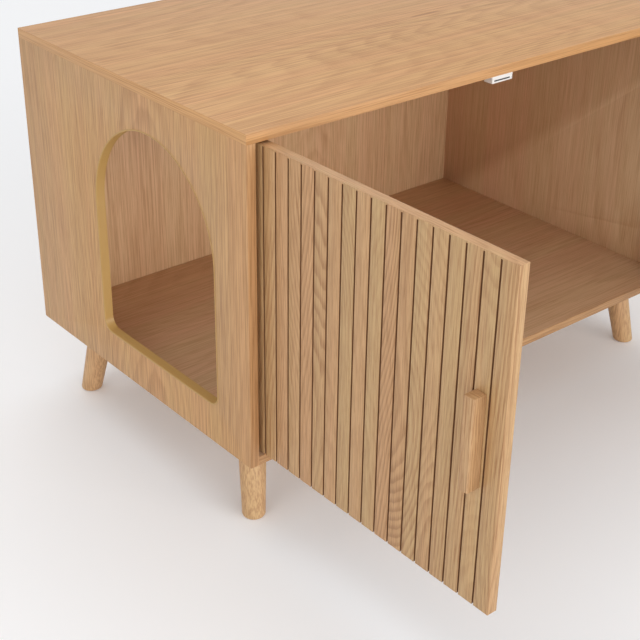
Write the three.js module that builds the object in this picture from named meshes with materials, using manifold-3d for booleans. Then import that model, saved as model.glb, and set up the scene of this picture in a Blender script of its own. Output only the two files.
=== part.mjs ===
// A low wooden cabinet that hides a cat litter tray: two inset grooved doors at the front, an arched entrance
// in the left side and four splayed legs. The doors stand open at the rest pose.
// Millimetres, +Z up, front towards -Y. Everything is laid out from the front left corner of the footprint, on
// the floor. The last lines move the origin to the bottom centre of the cabinet with its doors as they stand.
import * as THREE from 'three';
import { mergeVertices } from 'three/addons/utils/BufferGeometryUtils.js';
import Module from 'manifold-3d';

const wasm = await Module();
wasm.setup();

// ---- Driving dimensions: the carcass ----
const width = 1000;
const panelDepth = 606; // the boards alone, without the thin back
const bodyHeight = 522; // from the underside of the floor board to the top
const boardThickness = 15;
const backThickness = 3;
const legHeight = 138; // from the floor to the underside of the body

// ---- The arched entrance in the left side ----
const archClearWidth = 314.5;
const archCentreY = 239.5;
const archSillHeight = 67; // clear sill above the underside of the body
const archSpringHeight = 292.5; // centre of the round top above the underside of the body
const archCornerRadius = 18;
const edgingLining = 2; // wall of the edging inside the hole
const edgingLip = 0.8; // width of its narrow rim on the outer face, past the hole
const edgingProud = 0.5; // how far the rim stands off the face
const edgingRound = 0.4;

// ---- The doors ----
const doorThickness = 16;
const doorGap = 3; // all round each door and between the two
const doorOpenAngle = 90; // degrees, as they stand open
const slatCount = 18;
const grooveWidth = 3;
const grooveDepth = 3;
const grooveTopStop = 2.3; // the lipping that closes the grooves at the top

// ---- The concealed hinges ----
const pivotInset = 14.5; // hinge axis from the door's hinge edge
const pivotDepth = 8.5; // hinge axis behind the door's outer face
const hingeEndDistance = 80; // hinge centre from the door's top and bottom
const cupCentreInset = 21.5; // cup centre from the door's hinge edge
const cupRadius = 17.5;
const cupDepth = 11.5;
const cupWall = 1;
const cupFloor = 0.8;
const flangeRadius = 19;
const flangeThickness = 1;
const wingLength = 60;
const wingWidth = 15;
const wingOffset = 9.5; // the two dowels lie this far from the cup centre
const dowelSpacing = 45;
const cupDowelRadius = 3.8;
const cupDowelLength = 8;
const pinRadius = 1.4;
const pinLength = 31;
const eyeRadius = 2.9;
const neckThickness = 2;
const neckRadius = 19; // the neck's bend runs round the hinge axis
const neckStartAngle = 14;
const neckEndAngle = 118;
const neckOverlap = 3; // degrees by which the bend runs back past its stalk
const armWidth = 10;
const armBodyWidth = 14;
const armBodyThickness = 6;
const armBodyStart = 16; // behind the hinge axis
const armBodyLength = 44;
const plateThickness = 2.5;
const plateLength = 36;
const plateWingSpan = 38;
const plateWingWidth = 13;
const plateScrewSpacing = 27;

// ---- The handles ----
const handleWidth = 17;
const handleProjection = 21;
const handleLength = 132;
const handleEdgeRadius = 2.5;
const handleScrewSpacing = 96;
const handleSlat = 2; // the handle is centred on this slat, counted from the free edge

// ---- The magnetic catch under the top ----
const catchWidth = 44;
const catchDepth = 16.5;
const catchHeight = 19.6;
const catchFaceGap = 3; // behind the closed doors' inner faces
const magnetWidth = 34;
const magnetDepth = 7;
const magnetThickness = 2;
const magnetRise = 3.4; // the magnet's middle above the catch's underside
const magnetRecess = 0.8;
const catchScrewSpacing = 28;
const catchScrewFromBack = 4.8;
const catchHeadSink = 0.6; // the screw heads lie this far inside the underside
const strikeWidth = 18;
const strikeHeight = 14;
const strikeThickness = 1.2;
const strikeEdgeDistance = 1.5; // from the door's free edge

// ---- The legs ----
const legTopRadius = 23;
const legFootRadius = 18.5;
const legInsetX = 65; // leg centre at the body, from the side's outer face
const legInsetFront = 85;
const legInsetBack = 85;
const legSplayX = 18; // how far the foot stands out past the top of the leg
const legSplayY = 27;
const legFootRound = 2.5;
const legBoltRadius = 4;
const legBoltInLeg = 35;
const legBoltInBoard = 11;

// ---- Fasteners ----
const jointDowelRadius = 4;
const jointDowelLength = 30;
const jointDowelInFace = 10; // the rest is in the other board's edge
const jointDowelInset = 70; // from the boards' front and back edges
const woodScrew = { shank: 1.6, length: 13, head: 3.2, headHeight: 2 };
const catchScrew = { shank: 1.6, length: 22, head: 3.2, headHeight: 2 };
const handleScrew = { shank: 2, length: 28, head: 4, headHeight: 2.4 };
const headCrown = 0.7; // the flat on a pan head, as a share of its radius
const headRim = 0.4; // its upright rim, as a share of its height

const clearance = 0.3; // between pieces that touch on the real cabinet
const overcut = 1; // how far a cutter runs past the face that it starts from

// ---- Flats in the round shapes ----
const thinSides = 12; // screws, pins, dowels and their holes
const boltSides = 16; // leg bolts, hinge eyes and the recesses for screw heads
const cupSides = 30;
const legSides = 32;
const archSteps = 32; // in the half round of the arch
const archCornerSteps = 5; // in each quarter round below
const edgingSteps = 2; // in the rounded rim
const neckSteps = 7; // half of those in the hinge arm's bend
const handleEdgeSteps = 3; // half of those in a quarter round

// ---- Worked out from the dimensions above ----
const depth = panelDepth + backThickness;
const height = legHeight + bodyHeight;
const innerBottom = legHeight + boardThickness;
const innerTop = height - boardThickness;
const doorWidth = (width - 2 * boardThickness - 3 * doorGap) / 2;
const doorHeight = innerTop - innerBottom - 2 * doorGap;
const doorBottom = innerBottom + doorGap;
const slatPitch = doorWidth / slatCount;
const pivotX = boardThickness + doorGap + pivotInset;
const hingeHeights = { lower: hingeEndDistance, upper: doorHeight - hingeEndDistance };

const SIDES = { left: 1, right: -1 };
const AXES = {
  x: new THREE.Vector3(1, 0, 0),
  y: new THREE.Vector3(0, 1, 0),
  z: new THREE.Vector3(0, 0, 1),
};

// ---- Finishes ----
function finish(color, roughness, metalness = 0) {
  return new THREE.MeshStandardMaterial({ color, roughness, metalness });
}
const OAK = finish('#c9a177', 0.55);
const DOOR_OAK = finish('#c19b74', 0.55);
const OCHRE_EDGING = finish('#bf9c52', 0.5);
const STEEL = finish('#c4c6c8', 0.3, 1);
const ZINC = finish('#b3b1a8', 0.4, 1);
const WHITE_PLASTIC = finish('#f4f3ef', 0.4);
const MAGNET = finish('#3a3836', 0.6, 0.3);
const BEECH = finish('#d2ab7f', 0.7);

// ---- Small tools ----
const radians = THREE.MathUtils.degToRad;

const mergeDistance = 1e-4; // corners this close are one

// The pieces with cuts or joins go through manifold-3d: a closed mesh in, a closed mesh out.
function toSolid(geometry) {
  const bare = geometry.clone();
  bare.deleteAttribute('uv');
  bare.deleteAttribute('normal');
  const merged = mergeVertices(bare, mergeDistance);
  const corners = merged.index.array;
  const kept = [];
  for (let i = 0; i < corners.length; i += 3) {
    const [a, b, c] = corners.slice(i, i + 3);
    if (a !== b && b !== c && c !== a) {
      kept.push(a, b, c);
    }
  }
  const vertProperties = new Float32Array(merged.attributes.position.array);
  return new wasm.Manifold(new wasm.Mesh({ numProp: 3, vertProperties, triVerts: new Uint32Array(kept) }));
}

function toGeometry(solid) {
  const mesh = solid.getMesh();
  const geometry = new THREE.BufferGeometry();
  geometry.setAttribute('position', new THREE.BufferAttribute(mesh.vertProperties, 3));
  geometry.setIndex(new THREE.BufferAttribute(mesh.triVerts, 1));
  geometry.computeVertexNormals();
  return geometry;
}

// Adds and cuts solids: shape(first, { add: [...], cut: [...] }).
function shape(first, { add = [], cut = [] }) {
  let solid = toSolid(first);
  for (const geometry of add) {
    solid = solid.add(toSolid(geometry));
  }
  for (const geometry of cut) {
    solid = solid.subtract(toSolid(geometry));
  }
  return toGeometry(solid);
}

const box = (x, y, z, cx, cy, cz) => new THREE.BoxGeometry(x, y, z).translate(cx, cy, cz);

// A cylinder from a start point along an axis.
function rod(radius, length, axis, x, y, z, sides = thinSides) {
  const geometry = new THREE.CylinderGeometry(radius, radius, length, sides).translate(0, length / 2, 0);
  const turn = new THREE.Quaternion().setFromUnitVectors(AXES.y, AXES[axis]);
  return geometry.applyQuaternion(turn).translate(x, y, z);
}

// A pan-head screw along an axis: its head's seat is at the start point and its shank runs along sign * axis.
function screw({ shank, length, head, headHeight }, axis, sign) {
  const profile = [[0, -headHeight], [head * headCrown, -headHeight], [head, -headHeight * headRim],
    [head, 0], [shank, 0], [shank, length - shank], [0, length]];
  const points = profile.map(([r, along]) => new THREE.Vector2(r, along));
  const turn = new THREE.Quaternion().setFromUnitVectors(AXES.y, AXES[axis].clone().multiplyScalar(sign));
  return new THREE.LatheGeometry(points, thinSides).applyQuaternion(turn);
}

const cabinet = new THREE.Group();
function piece(parent, name, geometry, material, x = 0, y = 0, z = 0) {
  const mesh = new THREE.Mesh(geometry, material);
  mesh.name = name;
  mesh.position.set(x, y, z);
  parent.add(mesh);
}

// ---- The arch: one outline, grown by a margin for the hole, the lining and the rim ----
function archOutline(margin) {
  const half = archClearWidth / 2 + margin;
  const corner = archCornerRadius + margin;
  const sill = legHeight + archSillHeight - margin;
  const spring = legHeight + archSpringHeight;
  const points = [];
  const arc = (cy, cz, radius, from, to, steps) => {
    for (let i = 0; i <= steps; i += 1) {
      const angle = radians(from + ((to - from) * i) / steps);
      points.push(new THREE.Vector2(cy + radius * Math.cos(angle), cz + radius * Math.sin(angle)));
    }
  };
  arc(archCentreY, spring, half, 0, 180, archSteps);
  arc(archCentreY - half + corner, sill + corner, corner, 180, 270, archCornerSteps);
  arc(archCentreY + half - corner, sill + corner, corner, 270, 360, archCornerSteps);
  return points;
}

// An outline in Y and Z, swept along X from a start to an end.
function sweepX(outline, holes, from, to, bevel = 0) {
  const flat = new THREE.Shape(outline);
  for (const hole of holes) {
    flat.holes.push(new THREE.Path(hole));
  }
  const geometry = new THREE.ExtrudeGeometry(flat, {
    depth: to - from - 2 * bevel, steps: 1, bevelEnabled: bevel > 0,
    bevelThickness: bevel, bevelSize: bevel, bevelOffset: -bevel, bevelSegments: edgingSteps,
  });
  const basis = new THREE.Matrix4().makeBasis(AXES.y, AXES.z, AXES.x);
  return geometry.applyMatrix4(basis).translate(from + bevel, 0, 0);
}

// ---- Dowels: two in each joint, glued into the face of one board and the edge of the other ----
const jointDowelYs = { front: jointDowelInset, back: panelDepth - jointDowelInset };
const jointDowels = [];
for (const [side, sign] of Object.entries(SIDES)) {
  const outer = sign > 0 ? 0 : width;
  for (const [end, y] of Object.entries(jointDowelYs)) {
    const middle = outer + (sign * boardThickness) / 2;
    jointDowels.push({
      name: `joint_dowel_top_${side}_${end}`, axis: 'z', x: middle, y,
      z: innerTop + jointDowelInFace - jointDowelLength,
    });
    const inFace = outer + sign * (boardThickness - jointDowelInFace);
    jointDowels.push({
      name: `joint_dowel_bottom_${side}_${end}`, axis: 'x', y, z: legHeight + boardThickness / 2,
      x: sign > 0 ? inFace : inFace - jointDowelLength,
    });
  }
}
function dowelHoles() {
  return jointDowels.map(({ axis, x, y, z }) => {
    const from = { x, y, z };
    from[axis] -= clearance;
    return rod(jointDowelRadius + clearance, jointDowelLength + 2 * clearance, axis, from.x, from.y, from.z);
  });
}
for (const { name, axis, x, y, z } of jointDowels) {
  piece(cabinet, name, rod(jointDowelRadius, jointDowelLength, axis, 0, 0, 0), BEECH, x, y, z);
}

// ---- Hinge arms and mounting plates, fixed to the sides ----
// Laid out round the hinge axis, with u from the side board towards the middle of the cabinet.
const sideFace = -(pivotInset + doorGap); // the side's inner face, seen from the hinge axis
const plateFace = sideFace + plateThickness;
const plateMiddle = armBodyStart + armBodyLength - plateLength / 2;

function hingeArm(sign) {
  const neckOuter = neckRadius + neckThickness / 2;
  const bendFrom = radians(neckStartAngle - neckOverlap);
  const bendTo = radians(neckEndAngle);
  const outline = new THREE.Shape();
  outline.absarc(0, 0, neckOuter, bendFrom, bendTo, false);
  outline.absarc(0, 0, neckOuter - neckThickness, bendTo, bendFrom, true);
  const bend = new THREE.ExtrudeGeometry(outline,
    { depth: armWidth, bevelEnabled: false, curveSegments: neckSteps }).translate(0, 0, -armWidth / 2);
  const stalk = box(neckRadius, neckThickness, armWidth, neckRadius / 2, 0, 0)
    .rotateZ(radians(neckStartAngle));
  const eye = rod(eyeRadius, armWidth, 'z', 0, 0, -armWidth / 2, boltSides);
  const body = box(armBodyThickness, armBodyLength, armBodyWidth,
    plateFace + armBodyThickness / 2, armBodyStart + armBodyLength / 2, 0);
  const bore = rod(pinRadius + clearance, 2 * armWidth, 'z', 0, 0, -armWidth, boltSides);
  const arm = shape(bend, { add: [stalk, eye, body], cut: [bore] });
  return sign > 0 ? arm : mirrorX(arm);
}

function mirrorX(geometry) {
  const mirrored = geometry.clone().scale(-1, 1, 1);
  const corners = mirrored.index.array;
  for (let i = 0; i < corners.length; i += 3) [corners[i], corners[i + 1]] = [corners[i + 1], corners[i]];
  mirrored.computeVertexNormals();
  return mirrored;
}

function mountingPlate(sign) {
  const middle = sideFace + plateThickness / 2;
  const bar = box(plateThickness, plateLength, armBodyWidth, middle, plateMiddle, 0);
  const wings = box(plateThickness, plateWingWidth, plateWingSpan, middle, plateMiddle, 0);
  const holes = [-1, 1].map((end) => rod(woodScrew.shank + clearance, plateThickness + 2 * overcut, 'x',
    sideFace - overcut, plateMiddle, (end * plateScrewSpacing) / 2));
  const plate = shape(bar, { add: [wings], cut: holes });
  return sign > 0 ? plate : mirrorX(plate);
}

const plateScrewHoles = { left: [], right: [] };
for (const [side, sign] of Object.entries(SIDES)) {
  const axisX = sign > 0 ? pivotX : width - pivotX;
  for (const [level, rise] of Object.entries(hingeHeights)) {
    const z = doorBottom + rise;
    piece(cabinet, `${side}_${level}_hinge_arm`, hingeArm(sign), STEEL, axisX, pivotDepth, z);
    piece(cabinet, `${side}_${level}_hinge_plate`, mountingPlate(sign), STEEL, axisX, pivotDepth, z);
    for (const [end, up] of Object.entries({ low: -1, high: 1 })) {
      const screwZ = z + (up * plateScrewSpacing) / 2;
      const screwY = pivotDepth + plateMiddle;
      piece(cabinet, `${side}_${level}_plate_screw_${end}`, screw(woodScrew, 'x', -sign), ZINC,
        axisX + sign * plateFace, screwY, screwZ);
      const holeDepth = woodScrew.length - plateThickness + clearance;
      const faceX = sign > 0 ? boardThickness : width - boardThickness;
      plateScrewHoles[side].push(rod(woodScrew.shank + clearance, holeDepth + overcut, 'x',
        sign > 0 ? faceX - holeDepth : faceX - overcut, screwY, screwZ));
    }
  }
}

// ---- The magnetic catch, screwed up under the top behind the meeting edges of the doors ----
const catchFront = doorThickness + catchFaceGap;
const catchScrewY = catchFront + catchDepth - catchScrewFromBack;
const catchBottom = innerTop - catchHeight;
const catchScrewXs = { left: -catchScrewSpacing / 2, right: catchScrewSpacing / 2 };
const catchHeadDepth = catchScrew.headHeight + catchHeadSink;
const magnetZ = catchBottom + magnetRise;

const catchCuts = [box(magnetWidth + 2 * clearance, 2 * (magnetRecess + magnetDepth + clearance),
  magnetThickness + 2 * clearance, width / 2, catchFront, magnetZ)];
for (const x of Object.values(catchScrewXs)) {
  catchCuts.push(rod(catchScrew.shank + clearance, catchHeight + 2 * overcut, 'z',
    width / 2 + x, catchScrewY, catchBottom - overcut));
  catchCuts.push(rod(catchScrew.head + clearance, catchHeadDepth + overcut, 'z',
    width / 2 + x, catchScrewY, catchBottom - overcut, boltSides));
}
const catchBlock = box(catchWidth, catchDepth, catchHeight,
  width / 2, catchFront + catchDepth / 2, catchBottom + catchHeight / 2);
piece(cabinet, 'catch_body', shape(catchBlock, { cut: catchCuts }), WHITE_PLASTIC);
piece(cabinet, 'catch_magnet', new THREE.BoxGeometry(magnetWidth, magnetDepth, magnetThickness), MAGNET,
  width / 2, catchFront + magnetRecess + magnetDepth / 2, magnetZ);
for (const [end, x] of Object.entries(catchScrewXs)) {
  piece(cabinet, `catch_screw_${end}`, screw(catchScrew, 'z', 1), ZINC,
    width / 2 + x, catchScrewY, catchBottom + catchHeadDepth);
}

// ---- The legs: turned, tapered and splayed out towards the corners, each on a vertical hanger bolt ----
function leg(splayX, splayY) {
  const profile = [[0, 0], [legTopRadius, 0], [legFootRadius, legFootRound - legHeight],
    [legFootRadius - legFootRound, -legHeight], [0, -legHeight]];
  const points = profile.map(([r, z]) => new THREE.Vector2(r, z)).reverse();
  const upright = new THREE.LatheGeometry(points, legSides).rotateX(Math.PI / 2);
  const lean = new THREE.Matrix4().set(
    1, 0, -splayX / legHeight, 0,
    0, 1, -splayY / legHeight, 0,
    0, 0, 1, 0,
    0, 0, 0, 1,
  );
  const holeDepth = legBoltInLeg + clearance;
  const hole = rod(legBoltRadius + clearance, holeDepth + overcut, 'z', 0, 0, -holeDepth, boltSides);
  return shape(upright.applyMatrix4(lean), { cut: [hole] });
}

const legPlaces = [];
const legBoltLength = legBoltInLeg + legBoltInBoard;
for (const [side, sign] of Object.entries(SIDES)) {
  for (const end of ['front', 'back']) {
    const out = end === 'front' ? -1 : 1;
    const x = sign > 0 ? legInsetX : width - legInsetX;
    const y = end === 'front' ? legInsetFront : panelDepth - legInsetBack;
    legPlaces.push({ x, y });
    piece(cabinet, `${end}_${side}_leg`, leg(-sign * legSplayX, out * legSplayY), OAK, x, y, legHeight);
    piece(cabinet, `${end}_${side}_leg_bolt`, rod(legBoltRadius, legBoltLength, 'z', 0, 0, 0, boltSides),
      ZINC, x, y, legHeight - legBoltInLeg);
  }
}

// ---- The boards of the carcass ----
const sideHeight = bodyHeight - boardThickness; // the top lies on the sides
function board(x0, x1, y0, y1, z0, z1) {
  return box(x1 - x0, y1 - y0, z1 - z0, (x0 + x1) / 2, (y0 + y1) / 2, (z0 + z1) / 2);
}
const catchPilots = Object.values(catchScrewXs).map((x) => {
  const rise = catchScrew.length - (catchHeight - catchHeadDepth) + clearance;
  return rod(catchScrew.shank + clearance, rise + overcut, 'z',
    width / 2 + x, catchScrewY, innerTop - overcut);
});
const boltHoles = legPlaces.map(({ x, y }) => rod(legBoltRadius + clearance,
  legBoltInBoard + clearance + overcut, 'z', x, y, legHeight - overcut, boltSides));
const archHole = sweepX(archOutline(edgingLining + clearance), [], -overcut, boardThickness + overcut);
const leftSide = board(0, boardThickness, 0, panelDepth, legHeight, legHeight + sideHeight);
const rightSide = board(width - boardThickness, width, 0, panelDepth, legHeight, legHeight + sideHeight);
const floorBoard = board(boardThickness, width - boardThickness, 0, panelDepth, legHeight, innerBottom);
const topBoard = board(0, width, 0, panelDepth, innerTop, height);

piece(cabinet, 'top_panel', shape(topBoard, { cut: [...dowelHoles(), ...catchPilots] }), OAK);
piece(cabinet, 'bottom_panel', shape(floorBoard, { cut: [...dowelHoles(), ...boltHoles] }), OAK);
const leftCuts = [archHole, ...dowelHoles(), ...plateScrewHoles.left];
piece(cabinet, 'left_side_panel', shape(leftSide, { cut: leftCuts }), OAK);
const rightCuts = [...dowelHoles(), ...plateScrewHoles.right];
piece(cabinet, 'right_side_panel', shape(rightSide, { cut: rightCuts }), OAK);
piece(cabinet, 'back_panel', board(0, width, panelDepth, depth, legHeight, height), OAK);

// The edging lines the hole and laps onto the outer face with a narrow rounded rim.
const lining = sweepX(archOutline(edgingLining), [archOutline(0)], edgingRound - edgingProud, boardThickness);
const rimOutline = archOutline(edgingLining + edgingLip);
const rim = sweepX(rimOutline, [archOutline(0)], -edgingProud, edgingProud, edgingRound);
const behindFace = board(0, 2 * edgingProud, 0, panelDepth, legHeight, height);
piece(cabinet, 'arch_edging', toGeometry(toSolid(rim).subtract(toSolid(behindFace)).add(toSolid(lining))),
  OCHRE_EDGING);

// ---- The doors: each is laid out closed, round its hinge axis, in a group that turns it open ----
// u runs from the hinge axis to the free edge, v from the axis to the inside, z from the door's bottom.
const innerFace = doorThickness - pivotDepth;
const outerFace = -pivotDepth;
const freeEdge = doorWidth - pivotInset;
const cupU = cupCentreInset - pivotInset;
const handleU = freeEdge - (handleSlat - 0.5) * slatPitch;
const handleScrewZs = {
  lower: (doorHeight - handleScrewSpacing) / 2,
  upper: (doorHeight + handleScrewSpacing) / 2,
};
const cupSeat = innerFace + clearance; // underside of the cup's flange
const strikeU = freeEdge - strikeEdgeDistance - strikeWidth / 2;
const strikeZ = magnetZ - doorBottom;

function doorBoard(sign) {
  const cuts = [];
  for (let i = 1; i < slatCount; i += 1) {
    const u = freeEdge - i * slatPitch;
    cuts.push(box(grooveWidth, 2 * grooveDepth, doorHeight,
      sign * u, outerFace, doorHeight / 2 - grooveTopStop));
  }
  for (const z of Object.values(handleScrewZs)) {
    cuts.push(rod(handleScrew.shank + clearance, doorThickness + 2 * overcut, 'y',
      sign * handleU, outerFace - overcut, z));
  }
  for (const z of Object.values(hingeHeights)) {
    const boreDepth = cupDepth + clearance;
    cuts.push(rod(cupRadius + clearance, boreDepth + overcut, 'y',
      sign * cupU, innerFace - boreDepth, z, cupSides));
    for (const end of [-1, 1]) {
      cuts.push(rod(cupDowelRadius + clearance, cupDowelLength + clearance + overcut, 'y',
        sign * (cupU + wingOffset), innerFace - cupDowelLength - clearance, z + (end * dowelSpacing) / 2));
    }
  }
  const middleU = (freeEdge - pivotInset) / 2;
  const slab = box(doorWidth, doorThickness, doorHeight,
    sign * middleU, (innerFace + outerFace) / 2, doorHeight / 2);
  return shape(slab, { cut: cuts });
}

// The knock-in cup: a dish with a flange, two wings and two dowels, drilled for its pin.
function hingeCup(sign) {
  const bottom = cupSeat - cupDepth;
  const profile = [[0, bottom], [cupRadius, bottom], [cupRadius, cupSeat], [flangeRadius, cupSeat],
    [flangeRadius, cupSeat + flangeThickness], [cupRadius - cupWall, cupSeat + flangeThickness],
    [cupRadius - cupWall, bottom + cupFloor], [0, bottom + cupFloor]];
  const dish = new THREE.LatheGeometry(profile.map(([r, v]) => new THREE.Vector2(r, v)), cupSides);
  const wings = box(wingWidth, flangeThickness, wingLength,
    sign * wingOffset, cupSeat + flangeThickness / 2, 0);
  const mouth = rod(cupRadius - cupWall / 2, flangeThickness + 2 * overcut, 'y',
    0, cupSeat - overcut, 0, cupSides);
  const wingSolid = toSolid(wings).subtract(toSolid(mouth));
  let cup = toSolid(dish).add(wingSolid);
  for (const end of [-1, 1]) {
    cup = cup.add(toSolid(rod(cupDowelRadius, cupDowelLength + flangeThickness / 2, 'y', sign * wingOffset,
      cupSeat - cupDowelLength, (end * dowelSpacing) / 2)));
  }
  const pinHole = rod(pinRadius + clearance, 2 * flangeRadius, 'z', -sign * cupU, 0, -flangeRadius);
  return toGeometry(cup.subtract(toSolid(pinHole)));
}

function handleBar() {
  const halfWidth = handleWidth / 2;
  const depthLeft = handleProjection - clearance;
  const r = handleEdgeRadius;
  const outline = new THREE.Shape();
  outline.moveTo(-halfWidth, 0);
  outline.lineTo(-halfWidth, -depthLeft + r);
  outline.absarc(-halfWidth + r, -depthLeft + r, r, Math.PI, 1.5 * Math.PI, false);
  outline.lineTo(halfWidth - r, -depthLeft);
  outline.absarc(halfWidth - r, -depthLeft + r, r, 1.5 * Math.PI, 2 * Math.PI, false);
  outline.lineTo(halfWidth, 0);
  const bar = new THREE.ExtrudeGeometry(outline,
    { depth: handleLength, bevelEnabled: false, curveSegments: handleEdgeSteps });
  const holeDepth = handleScrew.length - doorThickness + clearance;
  const holes = [-1, 1].map((end) => rod(handleScrew.shank + clearance, holeDepth + overcut, 'y',
    0, -holeDepth, (handleLength + end * handleScrewSpacing) / 2));
  return shape(bar, { cut: holes });
}

for (const [side, sign] of Object.entries(SIDES)) {
  const door = new THREE.Group();
  door.position.set(sign > 0 ? pivotX : width - pivotX, pivotDepth, doorBottom);
  door.rotation.z = -sign * radians(doorOpenAngle);
  cabinet.add(door);

  piece(door, `${side}_door`, doorBoard(sign), DOOR_OAK);
  piece(door, `${side}_handle`, handleBar(), DOOR_OAK,
    sign * handleU, outerFace - clearance, (doorHeight - handleLength) / 2);
  for (const [level, z] of Object.entries(handleScrewZs)) {
    piece(door, `${side}_handle_screw_${level}`, screw(handleScrew, 'y', -1), ZINC,
      sign * handleU, innerFace + clearance, z);
  }
  for (const [level, z] of Object.entries(hingeHeights)) {
    piece(door, `${side}_${level}_hinge_cup`, hingeCup(sign), STEEL, sign * cupU, 0, z);
    piece(door, `${side}_${level}_hinge_pin`, rod(pinRadius, pinLength, 'z', 0, 0, 0), ZINC,
      0, 0, z - pinLength / 2);
  }
  piece(door, `${side}_strike_plate`, new THREE.BoxGeometry(strikeWidth, strikeThickness, strikeHeight),
    STEEL, sign * strikeU, innerFace + clearance + strikeThickness / 2, strikeZ);
}

// ---- Origin: the bottom centre of everything, with the doors as they stand ----
const bounds = new THREE.Box3().setFromObject(cabinet, true);
const centre = bounds.getCenter(new THREE.Vector3());
cabinet.position.set(-centre.x, -centre.y, -bounds.min.z);
cabinet.updateMatrixWorld(true);

export default cabinet;
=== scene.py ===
import math

import bpy
from mathutils import Matrix, Vector


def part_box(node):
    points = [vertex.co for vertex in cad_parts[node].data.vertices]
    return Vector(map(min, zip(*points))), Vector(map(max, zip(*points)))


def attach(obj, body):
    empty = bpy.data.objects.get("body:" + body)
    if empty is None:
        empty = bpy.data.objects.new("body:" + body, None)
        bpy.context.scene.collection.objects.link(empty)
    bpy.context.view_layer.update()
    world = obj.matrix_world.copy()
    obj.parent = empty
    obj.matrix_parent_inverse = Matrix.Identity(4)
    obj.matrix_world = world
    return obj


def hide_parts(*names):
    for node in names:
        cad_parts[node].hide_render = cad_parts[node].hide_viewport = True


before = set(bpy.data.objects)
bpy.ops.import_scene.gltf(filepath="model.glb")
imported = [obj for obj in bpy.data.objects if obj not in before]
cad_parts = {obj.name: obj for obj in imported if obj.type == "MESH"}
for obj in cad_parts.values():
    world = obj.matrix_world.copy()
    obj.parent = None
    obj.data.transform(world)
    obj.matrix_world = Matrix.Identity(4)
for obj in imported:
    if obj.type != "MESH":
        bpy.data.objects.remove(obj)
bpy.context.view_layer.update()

# ---- Viewpoint ----
# The cabinet is seen by a standing eye at its front left corner, so that the open door, the arched side and
# the inside show together. The place, lens and tilt were fitted to the straight edges of the photographed
# cabinet.
eye_place = (-1.4569, -1.3707, 1.2660)
eye_turn, eye_dip, eye_roll = math.radians(39.98), math.radians(28.59), math.radians(0.79)
lens_mm, sensor_mm = 74.33, 36.0
sight_end = 60.0

bpy.ops.object.select_all(action="DESELECT")
bpy.ops.object.camera_add(location=eye_place)
camera = bpy.context.object
camera.rotation_euler = (
    Matrix.Rotation(-eye_turn, 3, "Z")
    @ Matrix.Rotation(math.pi / 2 - eye_dip, 3, "X")
    @ Matrix.Rotation(eye_roll, 3, "Z")
).to_euler()
camera.data.lens, camera.data.sensor_width = lens_mm, sensor_mm
camera.data.clip_end = sight_end
bpy.context.scene.camera = camera


# ---- The boards of the carcass ----
# Top, floor, two sides and a thin back of particle board, faced with a printed oak laminate and edged with a
# matching band. The print runs along each board, and the bands run along each edge. The boards are dowelled
# and glued together, and a trimmer has eased every edge.
eased_edge = 0.0008
same_corner = 1e-6
square_on = 0.99
flat_angle, smooth_angle, sharp_angle = math.radians(0.5), math.radians(35), math.radians(40)


def to_linear(colour):
    """An sRGB colour written as #rrggbb, as the linear colour that a shader takes."""
    channels = [int(colour[i:i + 2], 16) / 255 for i in (1, 3, 5)]
    return [c / 12.92 if c <= 0.04045 else ((c + 0.055) / 1.055) ** 2.4 for c in channels] + [1.0]


def add(tree, kind, inputs=None, **settings):
    """Adds a node with its settings, and gives each of its inputs a value or a link."""
    made = tree.nodes.new(kind)
    for name, value in settings.items():
        setattr(made, name, value)
    for key, value in (inputs or {}).items():
        if isinstance(value, bpy.types.NodeSocket):
            tree.links.new(value, made.inputs[key])
        else:
            made.inputs[key].default_value = value
    return made


# The figure of flat-sawn oak, for every wooden face. Place is (along the grain, across it, into the wood) in
# metres. Every step below is a size in the wood itself, written as cells per metre (along, across, into).
figure = bpy.data.node_groups.new("flat sawn oak", "ShaderNodeTree")
for name, kind in {
    "Place": "NodeSocketVector", "Straw": "NodeSocketFloat", "Ring pitch": "NodeSocketFloat",
    "Heart gap": "NodeSocketFloat", "Ring strength": "NodeSocketFloat", "Fibre strength": "NodeSocketFloat",
    "Pink tone": "NodeSocketColor", "Straw tone": "NodeSocketColor", "Line tone": "NodeSocketColor",
}.items():
    figure.interface.new_socket(name, in_out="INPUT", socket_type=kind)
figure.interface.new_socket("Color", in_out="OUTPUT", socket_type="NodeSocketColor")
figure.interface.new_socket("Roughness", in_out="OUTPUT", socket_type="NodeSocketFloat")
figure.interface.new_socket("Height", in_out="OUTPUT", socket_type="NodeSocketFloat")
given = add(figure, "NodeGroupInput").outputs


def cells(per_metre, kind="ShaderNodeTexNoise", **settings):
    """A noise or cell pattern in the wood, with so many cells per metre along, across and into it."""
    scaled = add(figure, "ShaderNodeVectorMath", {0: given["Place"], 1: per_metre}, operation="MULTIPLY")
    return add(figure, kind, {"Vector": scaled.outputs[0], "Scale": 1.0, **settings}).outputs


# The fibres wander sideways by some millimetres as they run along the trunk.
full_wander = 0.045
wander = add(figure, "ShaderNodeMath", {0: cells((1.7, 8.0, 8.0), Detail=2.0)[0], 1: 0.5},
             operation="SUBTRACT")
wood_axes = add(figure, "ShaderNodeSeparateXYZ", {0: given["Place"]}).outputs
across = add(figure, "ShaderNodeMath", {0: wander.outputs[0], 1: full_wander, 2: wood_axes["Y"]},
             operation="MULTIPLY_ADD")
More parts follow.
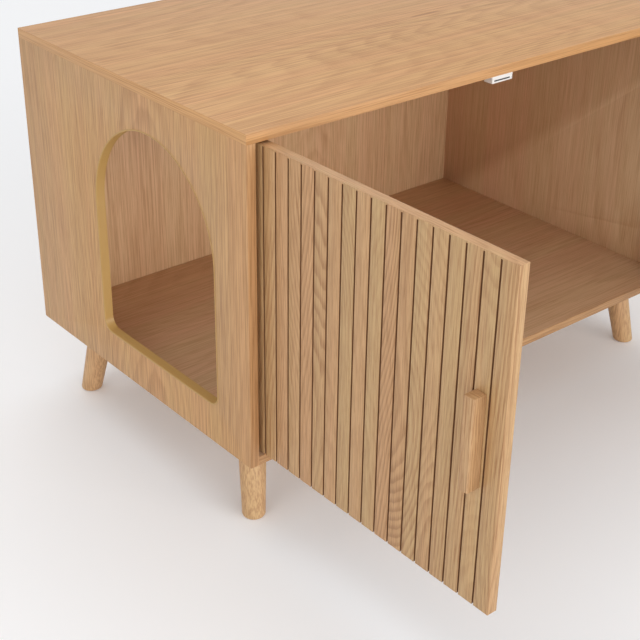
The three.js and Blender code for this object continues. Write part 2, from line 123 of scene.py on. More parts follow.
# The print repeats slices cut beside the heart of the trunk. Where the cut drifts towards the heart and away
# again along the board, the rings close to the long pointed arches of flat-sawn oak.
drift_range, drift_start = 0.30, -0.125
off_heart = add(figure, "ShaderNodeMath", {0: across.outputs[0], 1: given["Heart gap"]}, operation="PINGPONG")
drift = add(figure, "ShaderNodeMath", {0: cells((1.25, 1.6, 1.6), Detail=1.0)[0], 1: drift_range,
                                       2: drift_start}, operation="MULTIPLY_ADD")
drift = add(figure, "ShaderNodeMath", {0: drift.outputs[0], 1: wood_axes["Z"]}, operation="ADD")
ring_place = add(figure, "ShaderNodeCombineXYZ", {"X": off_heart.outputs[0], "Y": drift.outputs[0]})
radius = add(figure, "ShaderNodeVectorMath", {0: ring_place.outputs[0]}, operation="LENGTH").outputs["Value"]
rings = add(figure, "ShaderNodeMath", {0: radius, 1: given["Ring pitch"]}, operation="DIVIDE")
frayed, fray = cells((9.0, 55.0, 55.0), Detail=2.0)[0], 1.1
rings = add(figure, "ShaderNodeMath", {0: frayed, 1: fray, 2: rings.outputs[0]}, operation="MULTIPLY_ADD")
# A pin knot here and there pushes the rings aside, and leaves a dark tick of its own.
clear_share, knot_push = 0.93, 1.3
knots = cells((9.0, 26.0, 26.0), "ShaderNodeTexVoronoi")
knot_pick = add(figure, "ShaderNodeSeparateColor", {0: knots["Color"]}).outputs["Red"]
knot_pick = add(figure, "ShaderNodeMath", {0: knot_pick, 1: clear_share}, operation="GREATER_THAN")
push = add(figure, "ShaderNodeMapRange", {"Value": knots["Distance"], "From Min": 0.55, "From Max": 0.0},
           interpolation_type="SMOOTHSTEP")
push = add(figure, "ShaderNodeMath", {0: push.outputs[0], 1: knot_pick.outputs[0]}, operation="MULTIPLY")
rings = add(figure, "ShaderNodeMath", {0: push.outputs[0], 1: knot_push, 2: rings.outputs[0]},
            operation="MULTIPLY_ADD")
tick = add(figure, "ShaderNodeMapRange", {"Value": knots["Distance"], "From Min": 0.10, "From Max": 0.03})
tick = add(figure, "ShaderNodeMath", {0: tick.outputs[0], 1: knot_pick.outputs[0]}, operation="MULTIPLY")
# Each ring darkens slowly to its late wood and ends sharply. Some stretches of the board hardly show it.
ring = add(figure, "ShaderNodeMath", {0: rings.outputs[0]}, operation="FRACT")
late_wood = add(figure, "ShaderNodeMapRange", {"Value": ring.outputs[0], "From Min": 0.25, "From Max": 0.85},
                interpolation_type="SMOOTHSTEP")
ring_end = add(figure, "ShaderNodeMapRange", {"Value": ring.outputs[0], "From Min": 1.0, "From Max": 0.88})
late_wood = add(figure, "ShaderNodeMath", {0: late_wood.outputs[0], 1: ring_end.outputs[0]},
                operation="MULTIPLY")
stretch = add(figure, "ShaderNodeMapRange", {
    "Value": cells((1.3, 9.0, 9.0), Detail=1.0)[0], "From Min": 0.38, "From Max": 0.66, "To Min": 0.25,
}, interpolation_type="SMOOTHSTEP")
late_wood = add(figure, "ShaderNodeMath", {0: late_wood.outputs[0], 1: stretch.outputs[0]},
                operation="MULTIPLY")
# Streaks of fibre four millimetres wide and finer, flecks of two, the open pores, and two kinds of broad band
# along the board. Real pores are a third of a millimetre wide, and are drawn at twice that to show at all.
fibre = add(figure, "ShaderNodeMapRange", {"Value": cells((4.0, 230.0, 230.0), Detail=5.0, Roughness=0.85)[0],
                                           "From Min": 0.36, "From Max": 0.64})
pores = add(figure, "ShaderNodeMapRange", {"Value": cells((75.0, 1300.0, 1300.0), Detail=1.0)[0],
                                           "From Min": 0.56, "From Max": 0.72})
flecks = add(figure, "ShaderNodeMapRange", {"Value": cells((20.0, 540.0, 540.0), Detail=1.0)[0],
                                            "From Min": 0.42, "From Max": 0.62})
bands = add(figure, "ShaderNodeMapRange", {"Value": cells((0.6, 26.0, 26.0), Detail=3.0)[0],
                                           "From Min": 0.34, "From Max": 0.66})
shade = add(figure, "ShaderNodeMapRange", {"Value": cells((0.9, 14.0, 14.0), Detail=2.0)[0],
                                           "From Min": 0.30, "From Max": 0.70})
straw = add(figure, "ShaderNodeMath", {0: bands.outputs[0], 1: given["Straw"]}, operation="ADD",
            use_clamp=True)
wood = add(figure, "ShaderNodeMix", {"Factor": straw.outputs[0], "A": given["Pink tone"],
                                     "B": given["Straw tone"]}, data_type="RGBA")
pore_strength = 0.8
fine = add(figure, "ShaderNodeMath", {0: pores.outputs[0], 1: pore_strength}, operation="MULTIPLY")
for pattern, strength in {fibre: 0.8, flecks: 1.3}.items():
    fine = add(figure, "ShaderNodeMath", {0: pattern.outputs[0], 1: strength, 2: fine.outputs[0]},
               operation="MULTIPLY_ADD")
dark = add(figure, "ShaderNodeMath", {0: late_wood.outputs[0], 1: given["Ring strength"]},
           operation="MULTIPLY")
for pattern, strength in {fine: given["Fibre strength"], shade: 0.13, tick: 2.0}.items():
    dark = add(figure, "ShaderNodeMath", {0: pattern.outputs[0], 1: strength, 2: dark.outputs[0]},
               operation="MULTIPLY_ADD", use_clamp=True)
relief = add(figure, "ShaderNodeMath", {0: dark.outputs[0], 1: -1.0}, operation="MULTIPLY")
wood = add(figure, "ShaderNodeMix", {"Factor": dark.outputs[0], "A": wood.outputs["Result"],
                                     "B": given["Line tone"]}, data_type="RGBA")
# A satin sheen, a little duller in the pores.
satin_wood, pore_dulling = 0.48, 0.12
gloss = add(figure, "ShaderNodeMath", {0: pores.outputs[0], 1: pore_dulling, 2: satin_wood},
            operation="MULTIPLY_ADD")
add(figure, "NodeGroupOutput", {"Color": wood.outputs["Result"], "Roughness": gloss.outputs[0],
                                "Height": relief.outputs[0]})


def oak(name, faces, ends, shift, pink, straw, line, ring_pitch=0.0065, heart_gap=0.17, rings=0.25,
        fibres=0.36, drawn_out=2.2, band=1.0, slats=None):
    """Oak as a material. faces and ends give the axes (along, across, into) of the grain, on a board's faces
    and on the edges that cross its grain. pink, straw and line are the two tones of the wood and the colour
    of its dark lines. band scales the colour of the edges beside the faces, and below 1 it is painted shade
    on the edges. slats are (face, start, width, count): each of them is a strip of its own wood, and the
    grooves between them are painted darker, as painted shade."""
    material = bpy.data.materials.new(name)
    material.use_nodes = True
    tree = material.node_tree
    shader = tree.nodes["Principled BSDF"]
    at = add(tree, "ShaderNodeTexCoord").outputs
    spot = add(tree, "ShaderNodeMapping", {"Vector": at["Object"], "Location": shift}).outputs[0]
    axes = add(tree, "ShaderNodeSeparateXYZ", {0: spot}).outputs
    on_face = add(tree, "ShaderNodeCombineXYZ", dict(zip("XYZ", (axes[a] for a in faces)))).outputs[0]
    on_edge = add(tree, "ShaderNodeCombineXYZ", dict(zip("XYZ", (axes[a] for a in ends)))).outputs[0]
    facing = add(tree, "ShaderNodeSeparateXYZ", {0: at["Normal"]}).outputs[faces[0]]
    facing = add(tree, "ShaderNodeMath", {0: facing}, operation="ABSOLUTE")
    on_end = add(tree, "ShaderNodeMath", {0: facing.outputs[0], 1: 0.7}, operation="GREATER_THAN")
    straw_shift, groove_shade = 0.0, None
    if slats:
        face, start, width, count = slats
        groove_half, groove_floor, face_skin, slat_depth = 0.0016, 0.0032, 0.0003, 0.008
        line_nudge, behind_slats, slat_tint = 0.04, 0.3, 0.45
        here = add(tree, "ShaderNodeSeparateXYZ", {0: at["Object"]}).outputs
        number = add(tree, "ShaderNodeMath", {0: here[faces[1]], 1: start}, operation="SUBTRACT")
        number = add(tree, "ShaderNodeMath", {0: number.outputs[0], 1: width}, operation="DIVIDE")
        off_groove = add(tree, "ShaderNodeMath", {0: number.outputs[0], 1: 0.5}, operation="PINGPONG")
        off_groove = add(tree, "ShaderNodeMath", {0: off_groove.outputs[0], 1: width}, operation="MULTIPLY")
        deep = add(tree, "ShaderNodeMath", {0: here[faces[2]], 1: face}, operation="SUBTRACT")
        deep = add(tree, "ShaderNodeMath", {0: deep.outputs[0]}, operation="ABSOLUTE")
        # Painted shade: a mask for the inside of each groove, which is painted darker than the wood around
        # it.
        groove_shade = add(tree, "ShaderNodeMath", {0: off_groove.outputs[0], 1: groove_half}, operation="LESS_THAN")
        for value, limit, side_of in ((deep, groove_floor, "LESS_THAN"), (deep, face_skin, "GREATER_THAN"),
                                      (on_end, 0.5, "LESS_THAN"), (number, 0.5, "GREATER_THAN"),
                                      (number, count - 0.5, "LESS_THAN")):
            cut = add(tree, "ShaderNodeMath", {0: value.outputs[0], 1: limit}, operation=side_of)
            groove_shade = add(tree, "ShaderNodeMath", {0: groove_shade.outputs[0], 1: cut.outputs[0]},
                        operation="MULTIPLY")
        # One strip gives way to the next inside a groove, just off its middle.
        number = add(tree, "ShaderNodeMath", {0: number.outputs[0], 1: line_nudge}, operation="ADD")
        number = add(tree, "ShaderNodeMath", {0: number.outputs[0]}, operation="FLOOR")
        # Behind the slats, the rest of the door is one sheet with a calmer figure.
        on_slats = add(tree, "ShaderNodeMath", {0: deep.outputs[0], 1: slat_depth}, operation="LESS_THAN")
        number = add(tree, "ShaderNodeMath", {0: number.outputs[0], 1: on_slats.outputs[0]},
                     operation="MULTIPLY")
        number = add(tree, "ShaderNodeMath", {0: number.outputs[0], 1: shift[2] * 10}, operation="ADD")
        rings = add(tree, "ShaderNodeMapRange", {"Value": on_slats.outputs[0],
                                                 "To Min": behind_slats * rings, "To Max": rings}).outputs[0]
        dice = add(tree, "ShaderNodeTexWhiteNoise", {"W": number.outputs[0]}, noise_dimensions="1D").outputs
        jump = add(tree, "ShaderNodeVectorMath", {0: dice["Color"], 1: (5.0, 0.9, 0.0)}, operation="MULTIPLY")
        on_face = add(tree, "ShaderNodeVectorMath", {0: on_face, 1: jump.outputs[0]},
                      operation="ADD").outputs[0]
        straw_shift = add(tree, "ShaderNodeMapRange", {"Value": dice["Value"], "To Min": -slat_tint,
                                                       "To Max": slat_tint}).outputs[0]
    where = add(tree, "ShaderNodeMix", {"Factor": on_end.outputs[0], 4: on_face, 5: on_edge},
                data_type="VECTOR")
    where = add(tree, "ShaderNodeVectorMath", {0: where.outputs[1], 1: (1 / drawn_out, 1.0, 1.0)},
                operation="MULTIPLY")
    grown = add(tree, "ShaderNodeGroup", node_tree=figure)
    for key, value in {
        "Place": where.outputs[0], "Straw": straw_shift, "Ring pitch": ring_pitch, "Heart gap": heart_gap,
        "Ring strength": rings, "Fibre strength": fibres, "Pink tone": to_linear(pink),
        "Straw tone": to_linear(straw), "Line tone": to_linear(line),
    }.items():
        if isinstance(value, bpy.types.NodeSocket):
            tree.links.new(value, grown.inputs[key])
        else:
            grown.inputs[key].default_value = value
    broad = add(tree, "ShaderNodeSeparateXYZ", {0: at["Normal"]}).outputs[faces[2]]
    broad = add(tree, "ShaderNodeMath", {0: broad}, operation="ABSOLUTE")
    # band scales the colour of the edges beside the faces; below 1 it is painted shade on those edges.
    edge_shade = add(tree, "ShaderNodeMapRange", {"Value": broad.outputs[0], "From Min": 0.6, "From Max": 0.8,
                                              "To Min": band, "To Max": 1.0})
    tone = add(tree, "ShaderNodeVectorMath", {0: grown.outputs["Color"], 1: edge_shade.outputs[0]},
               operation="MULTIPLY").outputs[0]
    # The grooves are painted a dark brown, as painted shade in the recess.
    if groove_shade:
        tone = add(tree, "ShaderNodeMix", {"Factor": groove_shade.outputs[0], "A": tone, "B": to_linear("#80593a")},
                   data_type="RGBA").outputs["Result"]
    tree.links.new(tone, shader.inputs["Base Color"])
    tree.links.new(grown.outputs["Roughness"], shader.inputs["Roughness"])
    bump = add(tree, "ShaderNodeBump", {"Height": grown.outputs["Height"], "Strength": 0.3,
                                        "Distance": 0.0002})
    tree.links.new(bump.outputs[0], shader.inputs["Normal"])
    return material


def pick(piece):
    """Makes a piece the only one that the next operators work on."""
    bpy.ops.object.select_all(action="DESELECT")
    piece.select_set(True)
    bpy.context.view_layer.objects.active = piece


def eased_copy(name, node, ease, material, body, segments=2):
    """The piece cut like its CAD node, in one closed skin with its sharp edges rounded off."""
    piece = bpy.data.objects.new(name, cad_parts[node].data.copy())
    bpy.context.scene.collection.objects.link(piece)
    pick(piece)
    bpy.ops.object.mode_set(mode="EDIT")
    bpy.ops.mesh.select_all(action="SELECT")
    bpy.ops.mesh.remove_doubles(threshold=same_corner)
    bpy.ops.mesh.dissolve_limited(angle_limit=flat_angle)
    bpy.ops.object.mode_set(mode="OBJECT")
    rounding = piece.modifiers.new("eased edges", "BEVEL")
    rounding.width, rounding.segments = ease, segments
    rounding.limit_method, rounding.angle_limit = "ANGLE", sharp_angle
    rounding.miter_outer = "MITER_ARC"
    bpy.ops.object.modifier_apply(modifier=rounding.name)
    bpy.ops.object.shade_smooth_by_angle(angle=smooth_angle)
    piece.data.materials.clear()
    piece.data.materials.append(material)
    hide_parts(node)
    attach(piece, body)
    return piece


lying, standing, upright_back = ("XYZ", "YZX"), ("ZYX", "YXZ"), ("ZXY", "XYZ")
# Outside, each board is from a sheet of its own. Inside, all of them have a plainer figure, and a paler
# colour that is painted light, which lifts the inward faces.
top_tone = {"pink": "#daa36f", "straw": "#d6a970", "line": "#a87543"}
side_tone = {"pink": "#d6a473", "straw": "#d2a972", "line": "#a37548"}
painted_light_inner_tone = {"pink": "#dcb492", "straw": "#d9ba93", "line": "#af845c", "rings": 0.2, "fibres": 0.25}
painted_light_back_tone = {"pink": "#e4bb94", "straw": "#e1c095", "line": "#b78b62", "rings": 0.2, "fibres": 0.34}
inside_lying = oak("oak laminate, painted lighter, floor and ceiling", *lying, (7.7, 1.3, 0.4), **painted_light_inner_tone)
inside_standing = oak("oak laminate, painted lighter, inner sides", *standing, (0.6, 5.1, 8.3), **painted_light_inner_tone)
inside_back = oak("oak laminate, painted lighter, inner back", *upright_back, (1.9, 0.3, 12.6), **painted_light_back_tone)
outside = {
    "top": oak("oak laminate, top board", *lying, (3.1, 0.7, 0.0), rings=0.24, fibres=0.31, drawn_out=3.2,
               **top_tone),
    # The floor board's edges are painted a tenth darker, as painted shade.
    "floor": oak("oak laminate, floor board", *lying, (5.2, 2.9, 1.7), band=0.9, **side_tone),
    "left": oak("oak laminate, left side", *standing, (0.2, 2.2, 4.1), **side_tone),
    "right": oak("oak laminate, right side", *standing, (1.6, 3.4, 6.2), **side_tone),
    "back": oak("oak laminate, back", *upright_back, (2.8, 1.1, 10.3), **side_tone),
}
boards = {
    "top_board": ("top_panel", outside["top"], inside_lying, (0, 0, -1)),
    "floor_board": ("bottom_panel", outside["floor"], inside_lying, (0, 0, 1)),
    "left_side": ("left_side_panel", outside["left"], inside_standing, (1, 0, 0)),
    "right_side": ("right_side_panel", outside["right"], inside_standing, (-1, 0, 0)),
    "back": ("back_panel", outside["back"], inside_back, (0, -1, 0)),
}
for name, (node, laminate, painted_light_inside, inwards) in boards.items():
    board = eased_copy(name, node, eased_edge, laminate, "cabinet")
    # The inward faces take the paler colour, which is painted light.
    board.data.materials.append(painted_light_inside)
    for face in board.data.polygons:
        if face.normal.dot(Vector(inwards)) > square_on:
            face.material_index = 1

# ---- The joint dowels ----
# Beech pegs, eight millimetres thick and thirty long, that hold the boards in line. Each is glued a third in
# one board's face and the rest in the other's edge, so none of them shows. Beech is pale and dull, with short
# darker flecks.
beech = bpy.data.materials.new("beech dowel rod")
beech.use_nodes = True
beech_tree = beech.node_tree
rod_place = add(beech_tree, "ShaderNodeTexCoord").outputs["Object"]
beech_flecks = add(beech_tree, "ShaderNodeTexNoise", {"Vector": rod_place, "Scale": 900.0, "Detail": 3.0})
beech_tone = add(beech_tree, "ShaderNodeMix", {"Factor": beech_flecks.outputs[0], "A": to_linear("#d9b58c"),
                                               "B": to_linear("#b98d63")}, data_type="RGBA")
beech_tree.links.new(beech_tone.outputs["Result"], beech_tree.nodes["Principled BSDF"].inputs["Base Color"])
beech_tree.nodes["Principled BSDF"].inputs["Roughness"].default_value = 0.7
for node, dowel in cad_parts.items():
    if node.startswith("joint_dowel"):
        dowel.data.materials.clear()
        dowel.data.materials.append(beech)

# ---- The edging of the entrance ----
# A moulded ring of ochre ABS that is pushed into the arched hole, so that no paw meets a sharp board edge. A
# thin lining covers the cut, and its narrow rim, rounded towards the hole, stands just proud of the outer
# face.
lining, rim, rim_rise, hole_corner = 0.002, 0.0008, 0.0005, 0.018
inner_round, outer_round = 0.0016, 0.0004
arch_low, arch_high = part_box("arch_edging")
arch_y = (arch_low.y + arch_high.y) / 2
rim_half = (arch_high.y - arch_low.y) / 2
rim_spring = arch_high.z - rim_half
rim_corner = hole_corner + lining + rim

bpy.ops.object.select_all(action="DESELECT")
bpy.ops.mesh.primitive_circle_add(vertices=128, radius=rim_half, rotation=(0, math.pi / 2, 0),
                                  location=(arch_low.x, arch_y, rim_spring))
edging = bpy.context.object
edging.name = "arch_ring"
bpy.ops.object.transform_apply()


def choose(piece, kind, wanted):
    """Selects, in edit mode, just those vertices, edges or faces of a piece whose middle is wanted."""
    bpy.ops.mesh.select_mode(type=kind)
    bpy.ops.mesh.select_all(action="DESELECT")
    bpy.ops.object.mode_set(mode="OBJECT")
    mesh = piece.data
    elements = {"VERT": mesh.vertices, "EDGE": mesh.edges, "FACE": mesh.polygons}[kind]
    for element in elements:
        corners = [element] if kind == "VERT" else [mesh.vertices[v] for v in element.vertices]
        middle = sum((c.co for c in corners), Vector()) / len(corners)
        element.select = bool(wanted(middle, element))
    bpy.ops.object.mode_set(mode="EDIT")


def from_rim(at):
    """How far a point of the ring lies inside the outer line of its rim."""
    off_middle = abs(at.y - arch_y)
    if at.z > rim_spring:
        return rim_half - math.hypot(off_middle, at.z - rim_spring)
    from_wall, from_sill = rim_half - off_middle, at.z - arch_low.z
    if max(from_wall, from_sill) < rim_corner:
        return rim_corner - math.hypot(rim_corner - from_wall, rim_corner - from_sill)
    return min(from_wall, from_sill)


def in_hole(at):
    """True for a point on the surface that the cat passes."""
    return abs(from_rim(at) - rim - lining) < lining / 8


bpy.ops.object.mode_set(mode="EDIT")
choose(edging, "VERT", lambda at, v: at.z < rim_spring - same_corner)
bpy.ops.mesh.delete(type="VERT")
choose(edging, "VERT", lambda at, v: at.z < rim_spring + same_corner)
bpy.ops.mesh.extrude_region_move(TRANSFORM_OT_translate={"value": (0, 0, arch_low.z - rim_spring)})
bpy.ops.mesh.select_all(action="SELECT")
bpy.ops.mesh.edge_face_add()
choose(edging, "VERT", lambda at, v: at.z < arch_low.z + same_corner)
bpy.ops.mesh.bevel(offset=rim_corner, segments=10, affect="VERTICES")
bpy.ops.mesh.select_mode(type="FACE")
bpy.ops.mesh.select_all(action="SELECT")
bpy.ops.mesh.inset(thickness=rim, use_even_offset=True)
bpy.ops.mesh.inset(thickness=lining, use_even_offset=True)
bpy.ops.mesh.delete(type="FACE")
bpy.ops.mesh.select_all(action="SELECT")
bpy.ops.mesh.extrude_region_move(TRANSFORM_OT_translate={"value": (rim_rise, 0, 0)})
rim_back = arch_low.x + rim_rise
choose(edging, "FACE", lambda at, f: at.x > rim_back - same_corner and from_rim(at) > rim)
bpy.ops.mesh.extrude_region_move(TRANSFORM_OT_translate={"value": (arch_high.x - rim_back, 0, 0)})
choose(edging, "EDGE", lambda at, e: abs(at.x - rim_back) < same_corner and in_hole(at))
bpy.ops.mesh.dissolve_edges(use_verts=True)
choose(edging, "EDGE", lambda at, e: at.x < arch_low.x + same_corner and in_hole(at))
bpy.ops.mesh.bevel(offset=inner_round, segments=5)
choose(edging, "EDGE", lambda at, e: at.x < arch_low.x + same_corner and from_rim(at) < rim / 8)
bpy.ops.mesh.bevel(offset=outer_round, segments=3)
bpy.ops.mesh.select_all(action="SELECT")
bpy.ops.mesh.normals_make_consistent(inside=False)
bpy.ops.object.mode_set(mode="OBJECT")
pick(edging)
bpy.ops.object.shade_smooth_by_angle(angle=sharp_angle)

# Moulded ABS is coloured right through, and its satin skin gives a soft highlight along the rounded rim.
ochre = bpy.data.materials.new("satin ochre ABS, moulded")
ochre.use_nodes = True
ochre_tree = ochre.node_tree
ring_spot = add(ochre_tree, "ShaderNodeTexCoord").outputs["Object"]
pigment = add(ochre_tree, "ShaderNodeTexNoise", {"Vector": ring_spot, "Scale": 45.0, "Detail": 4.0})
ochre_tone = add(ochre_tree, "ShaderNodeMix", {"Factor": pigment.outputs[0], "A": to_linear("#ba9457"),
                                               "B": to_linear("#b48d51")}, data_type="RGBA")
# The mould leaves a fine leathery grain, about a millimetre from pit to pit.
pitting = add(ochre_tree, "ShaderNodeTexNoise", {"Vector": ring_spot, "Scale": 1100.0, "Detail": 2.0})
pitted = add(ochre_tree, "ShaderNodeBump", {"Height": pitting.outputs[0], "Strength": 0.15,
                                            "Distance": 0.0001})
satin = ochre_tree.nodes["Principled BSDF"].inputs
satin["Roughness"].default_value = 0.42
ochre_tree.links.new(ochre_tone.outputs["Result"], satin["Base Color"])
ochre_tree.links.new(pitted.outputs[0], satin["Normal"])
edging.data.materials.append(ochre)
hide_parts("arch_edging")
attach(edging, "cabinet")

# ---- The legs ----
# Four solid oak legs, turned to a taper and splayed outwards. Each has a rounded foot, and a flat head with a
# bore for the bolt that pulls it up against the floor board.
leg_height, head_radius, foot_radius, foot_round, head_ease = 0.138, 0.023, 0.0185, 0.0045, 0.0008
foot_out, foot_forth = 0.018, 0.027
bore_radius, bore_depth = 0.0042, 0.0355
leg_oak = oak("turned oak, legs", *standing, (0.9, 0.1, 0.0), ring_pitch=0.004, heart_gap=0.09, rings=0.14,
              drawn_out=1.0, pink="#dbb081", straw="#d7b684", line="#aa7e55")
for node in ("front_left_leg", "back_left_leg", "front_right_leg", "back_right_leg"):
    low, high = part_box(node)
    outward = -1 if "left" in node else 1
    forth = -1 if "front" in node else 1
    head_x = high.x - head_radius if outward < 0 else low.x + head_radius
    head_y = high.y - head_radius if forth < 0 else low.y + head_radius
    bpy.ops.object.select_all(action="DESELECT")
    bpy.ops.mesh.primitive_cone_add(vertices=64, radius1=foot_radius, radius2=head_radius, depth=leg_height,
                                    location=(head_x, head_y, leg_height / 2))
    leg = bpy.context.object
    leg.name = "turned_" + node
    bpy.ops.object.transform_apply()
    bpy.ops.object.mode_set(mode="EDIT")
    choose(leg, "VERT", lambda at, v: at.z < same_corner)
    bpy.ops.transform.translate(value=(outward * foot_out, forth * foot_forth, 0))
    choose(leg, "EDGE", lambda at, e: at.z < same_corner)
    bpy.ops.mesh.bevel(offset=foot_round, segments=6)
    choose(leg, "EDGE", lambda at, e: at.z > leg_height - same_corner)
    bpy.ops.mesh.bevel(offset=head_ease, segments=2)
    choose(leg, "FACE", lambda at, f: f.normal.z > square_on and at.z > leg_height - same_corner)
    bpy.ops.mesh.inset(thickness=head_radius - head_ease - bore_radius)
    bpy.ops.mesh.extrude_region_move(TRANSFORM_OT_translate={"value": (0, 0, -bore_depth)})
    bpy.ops.object.mode_set(mode="OBJECT")
    pick(leg)
    bpy.ops.object.shade_smooth_by_angle(angle=sharp_angle)
    leg.data.materials.append(leg_oak)
    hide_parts(node)
    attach(leg, "cabinet")

# ---- The doors ----
# Two slatted doors of oak veneer on a core. Narrow grooves cut the face into eighteen slats, each veneered
# from its own strip. The edges are banded, and the cups of the hinges are bored into the inner face.
slat_count, slat_ease = 18, 0.0006
door_low, door_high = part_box("left_door")
slat_width = (door_high.y - door_low.y) / slat_count
for side, shift in {"left": (0.3, 1.1, 0.5), "right": (1.7, 0.2, 3.9)}.items():
    low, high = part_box(f"{side}_door")
    outer_face = low.x if side == "left" else high.x
    veneer = oak(f"oak veneer, {side} door", *standing, shift, ring_pitch=0.0048, rings=0.45, fibres=0.29,
                 drawn_out=1.0, pink="#d4a577", straw="#ceac7a", line="#a3764b",
                 slats=(outer_face, low.y, slat_width, slat_count))
    eased_copy(f"{side}_slatted_door", f"{side}_door", slat_ease, veneer, f"{side}_door_leaf")

# ---- The handles ----
# A plain bar of solid oak on each door, planed square and sanded, with softened edges. Two screws hold it
# from the inside of the door.
bar_ease = 0.0006
for side, shift in {"left": (0.4, 0.6, 0.2), "right": (2.4, 0.1, 0.8)}.items():
    bar_oak = oak(f"solid oak, {side} handle", *standing, shift, ring_pitch=0.0035, rings=0.3, drawn_out=1.0,
                  pink="#d6ab80", straw="#d2ab7c", line="#a3764b")
    eased_copy(f"{side}_handle_bar", f"{side}_handle", bar_ease, bar_oak, f"{side}_door_leaf")

# ---- The hinges ----
# Concealed hinges of pressed steel. A plate screwed to the side carries the arm, and its curved neck turns on
# a pin through the cup that is knocked into the door. The nickel plating is warm grey and bright, and its
# reflections are a little clouded.
arm_ease, plate_ease, cup_ease = 0.0006, 0.0004, 0.0002
nickel = bpy.data.materials.new("nickel plated steel, pressed")
nickel.use_nodes = True
nickel_tree = nickel.node_tree
steel_spot = add(nickel_tree, "ShaderNodeTexCoord").outputs["Object"]
clouds = add(nickel_tree, "ShaderNodeTexNoise", {"Vector": steel_spot, "Scale": 160.0, "Detail": 4.0})
dulled = add(nickel_tree, "ShaderNodeMapRange", {"Value": clouds.outputs[0], "To Min": 0.22, "To Max": 0.40})
plating = nickel_tree.nodes["Principled BSDF"].inputs
plating["Base Color"].default_value = to_linear("#c9c6c0")
plating["Metallic"].default_value = 1.0
nickel_tree.links.new(dulled.outputs[0], plating["Roughness"])
for side in ("left", "right"):
    for level in ("lower", "upper"):
        hinge = f"{side}_{level}_hinge"
        eased_copy(f"{hinge}_arm_pressed", f"{hinge}_arm", arm_ease, nickel, "cabinet")
        eased_copy(f"{hinge}_plate_pressed", f"{hinge}_plate", plate_ease, nickel, "cabinet")
        eased_copy(f"{hinge}_cup_pressed", f"{hinge}_cup", cup_ease, nickel, f"{side}_door_leaf")

# ---- Screws, bolts, pins and strike plates ----
# Zinc plated steel, cooler and duller than the nickel, with a fine spangle that is drawn a millimetre coarse
# so that it shows. Each strike plate is a flat stamping, glued to a door for the magnet to hold.
stamped_edge = 0.0003
zinc = bpy.data.materials.new("zinc plated steel")
zinc.use_nodes = True
zinc_tree = zinc.node_tree
zinc_spot = add(zinc_tree, "ShaderNodeTexCoord").outputs["Object"]
spangle = add(zinc_tree, "ShaderNodeTexVoronoi", {"Vector": zinc_spot, "Scale": 700.0})
zinc_tone = add(zinc_tree, "ShaderNodeMix", {"Factor": spangle.outputs["Color"], "A": to_linear("#b9bcc0"),
                                             "B": to_linear("#cbcac4")}, data_type="RGBA")
zinc_coat = zinc_tree.nodes["Principled BSDF"].inputs
zinc_tree.links.new(zinc_tone.outputs["Result"], zinc_coat["Base Color"])
zinc_coat["Metallic"].default_value = 1.0
zinc_coat["Roughness"].default_value = 0.34
for node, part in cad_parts.items():
    if "screw" in node or node.endswith("_bolt") or node.endswith("_pin"):
        part.data.materials.clear()
        part.data.materials.append(zinc)
for side in ("left", "right"):
    eased_copy(f"{side}_strike_stamping", f"{side}_strike_plate", stamped_edge, zinc, f"{side}_door_leaf")

# ---- The magnetic catch ----
# A moulded block of white ABS, screwed up under the front of the top, with the soft sheen of such plastic.
# The charcoal grey bar of sintered ferrite in its slot holds both doors.
moulded_edge = 0.0005
abs_white = bpy.data.materials.new("white ABS, moulded")
abs_white.use_nodes = True
abs_tree = abs_white.node_tree
abs_spot = add(abs_tree, "ShaderNodeTexCoord").outputs["Object"]
abs_grain = add(abs_tree, "ShaderNodeTexNoise", {"Vector": abs_spot, "Scale": 1500.0, "Detail": 2.0})
abs_gloss = add(abs_tree, "ShaderNodeMapRange", {"Value": abs_grain.outputs[0], "To Min": 0.30,
                                                 "To Max": 0.44})
abs_skin = abs_tree.nodes["Principled BSDF"].inputs
abs_skin["Base Color"].default_value = to_linear("#f3f2ef")
abs_tree.links.new(abs_gloss.outputs[0], abs_skin["Roughness"])
eased_copy("catch_housing", "catch_body", moulded_edge, abs_white, "cabinet")
ferrite = bpy.data.materials.new("ferrite, sintered")
ferrite.use_nodes = True
ferrite_tree = ferrite.node_tree
ferrite_spot = add(ferrite_tree, "ShaderNodeTexCoord").outputs["Object"]
sinter = add(ferrite_tree, "ShaderNodeTexNoise", {"Vector": ferrite_spot, "Scale": 2500.0, "Detail": 2.0})
sintered = add(ferrite_tree, "ShaderNodeMix", {"Factor": sinter.outputs[0], "A": to_linear("#3a3a3c"),
                                               "B": to_linear("#4b4b4c")}, data_type="RGBA")
ferrite_skin = ferrite_tree.nodes["Principled BSDF"].inputs
ferrite_tree.links.new(sintered.outputs["Result"], ferrite_skin["Base Color"])
ferrite_skin["Roughness"].default_value = 0.62
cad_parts["catch_magnet"].data.materials.clear()
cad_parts["catch_magnet"].data.materials.append(ferrite)

# ---- Studio ----
# A pale floor under an even white tent, with three large soft boxes. The one low in front is the strongest
# and reaches into the cabinet, the left one lights the face of the open door, and the high one behind lights
# the top.
floor_size, floor_lift = 44.0, 0.095
tent_light, tent_lift = 0.49, 0.40
aim, lamp_distance = Vector((0, 0, 0.3)), 9.0


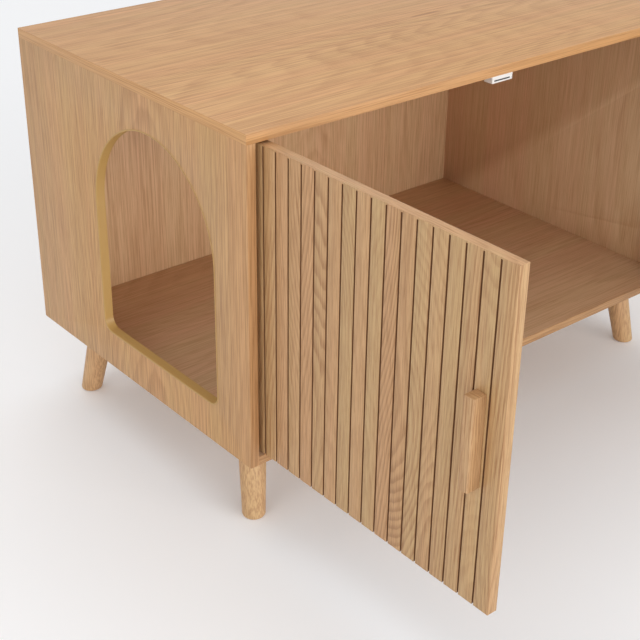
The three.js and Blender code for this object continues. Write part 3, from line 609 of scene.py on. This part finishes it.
def seen_rays(tree):
    """Is one where a ray shows or mirrors a surface to the eye, and nothing where it only carries light."""
    rays = add(tree, "ShaderNodeLightPath").outputs
    seen = add(tree, "ShaderNodeMath", {0: rays["Is Camera Ray"], 1: rays["Is Glossy Ray"]}, operation="ADD")
    return add(tree, "ShaderNodeMath", {0: seen.outputs[0], 1: rays["Is Transmission Ray"]},
               operation="ADD").outputs[0]


bpy.ops.object.select_all(action="DESELECT")
bpy.ops.mesh.primitive_plane_add(size=floor_size)
floor = bpy.context.object
floor.name = "studio_floor"
pale = bpy.data.materials.new("pale studio floor")
pale.use_nodes = True
pale_tree = pale.node_tree
paint = pale_tree.nodes["Principled BSDF"].inputs
paint["Base Color"].default_value = to_linear("#f1f2f4")
paint["Roughness"].default_value = 0.9
paint["Emission Color"].default_value = to_linear("#ffffff")
lift = add(pale_tree, "ShaderNodeMath", {0: seen_rays(pale_tree), 1: floor_lift}, operation="MULTIPLY")
pale_tree.links.new(lift.outputs[0], paint["Emission Strength"])
floor.data.materials.append(pale)

world = bpy.data.worlds.new("studio")
bpy.context.scene.world = world
world.use_nodes = True
tent = world.node_tree.nodes["Background"].inputs
tent["Color"].default_value = (1.0, 1.0, 1.0, 1.0)
# The tent lights the cabinet at about half of white, and is seen and mirrored as nearly white.
glow = add(world.node_tree, "ShaderNodeMath", {0: seen_rays(world.node_tree), 1: tent_lift, 2: tent_light},
           operation="MULTIPLY_ADD")
world.node_tree.links.new(glow.outputs[0], tent["Strength"])
# Each lamp's azimuth and height in degrees, its width and length in metres, and its power in watts.
lamps = {"front_box": (0, 15, 12.6, 4.6, 500.0), "left_box": (287, 20, 5.8, 5.2, 154.0),
         "back_box": (180, 66, 9.0, 7.2, 305.0)}
for name, (azimuth, height, width, length, power) in lamps.items():
    turn, rise = math.radians(azimuth), math.radians(height)
    towards = Vector((math.sin(turn) * math.cos(rise), -math.cos(turn) * math.cos(rise), math.sin(rise)))
    bpy.ops.object.light_add(type="AREA", location=aim + towards * lamp_distance,
                             rotation=towards.to_track_quat("Z", "Y").to_euler())
    lamp = bpy.context.object
    lamp.name = name
    lamp.data.shape, lamp.data.energy = "RECTANGLE", power
    lamp.data.size, lamp.data.size_y = width, length

bpy.context.scene.view_settings.view_transform = "Standard"
